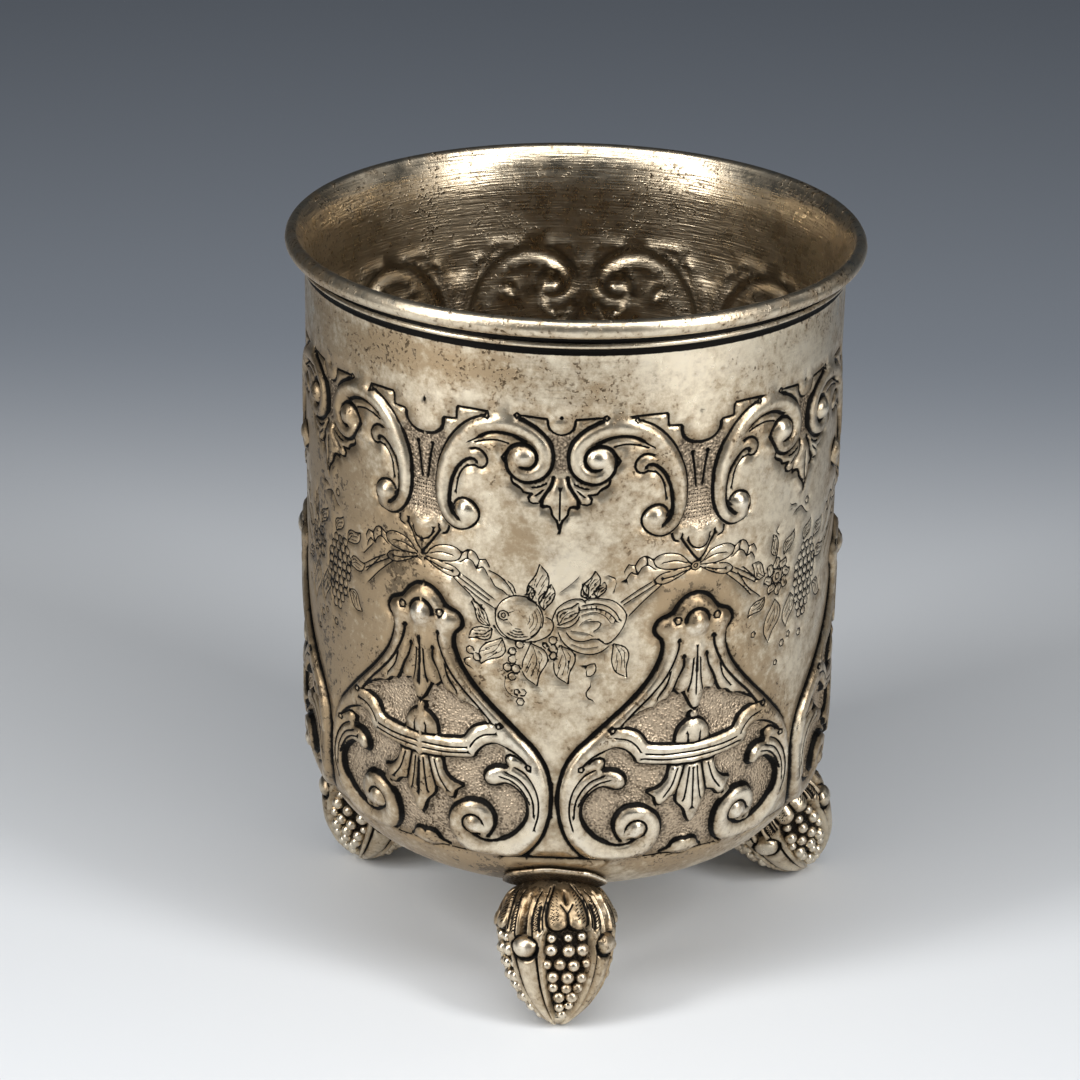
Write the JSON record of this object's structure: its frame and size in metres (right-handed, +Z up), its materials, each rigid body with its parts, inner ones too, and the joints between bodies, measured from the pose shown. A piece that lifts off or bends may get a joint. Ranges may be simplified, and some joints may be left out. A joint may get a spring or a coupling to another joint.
{
  "type": "silver beaker",
  "caption": "Chased silver beaker with everted lip, scroll and cartouche ornament, standing on cast fruit-shaped feet.",
  "frame": {"origin": "on the cup's axis, at the level that the foot tips stand on", "axes": "+Z up along the cup's axis, -Y towards the front foot"},
  "size_m": [0.08, 0.08, 0.1043],
  "materials": {
    "chased_silver": "aged silver, warm grey, dark oxide in the chased lines and matted ground",
    "cast_silver": "aged cast silver, black oxide between the berries and in the leaf veins"
  },
  "bodies": {
    "root": {"cup_body": "chased_silver", "foot_front": "cast_silver", "foot_right": "cast_silver", "foot_left": "cast_silver"}
  },
  "joints": []
}
